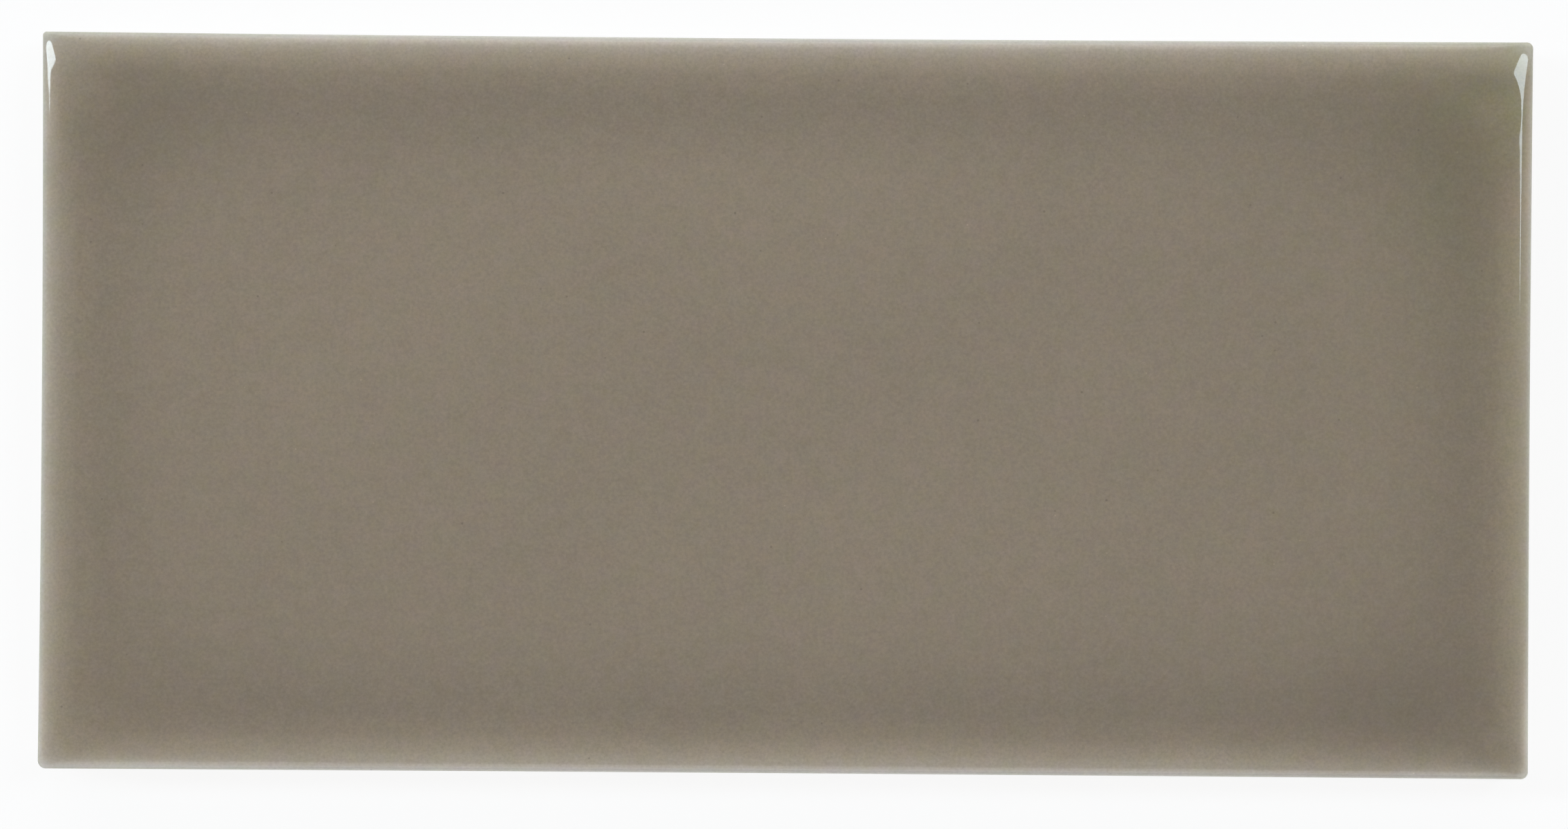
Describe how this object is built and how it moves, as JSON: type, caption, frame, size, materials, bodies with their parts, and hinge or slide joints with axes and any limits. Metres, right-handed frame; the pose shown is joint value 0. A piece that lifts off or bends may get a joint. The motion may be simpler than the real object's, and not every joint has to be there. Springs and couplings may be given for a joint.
{
  "type": "field tile",
  "caption": "Rectangular glazed ceramic field tile with a softly rolled edge round its face and a keyed back for adhesive.",
  "frame": {"origin": "centre of the flat back, where the two middle ribs of the key cross", "axes": "+X along the tile's length, +Y along its width, +Z out of the glazed face"},
  "size_m": [0.1508, 0.0746, 0.008],
  "materials": {
    "glazed_clay": "glossy warm grey-brown glaze, pale where it runs thin over the edge, on an off-white clay body that is bare on the lower sides and the back"
  },
  "bodies": {
    "root": {"tile": "glazed_clay"}
  },
  "joints": []
}
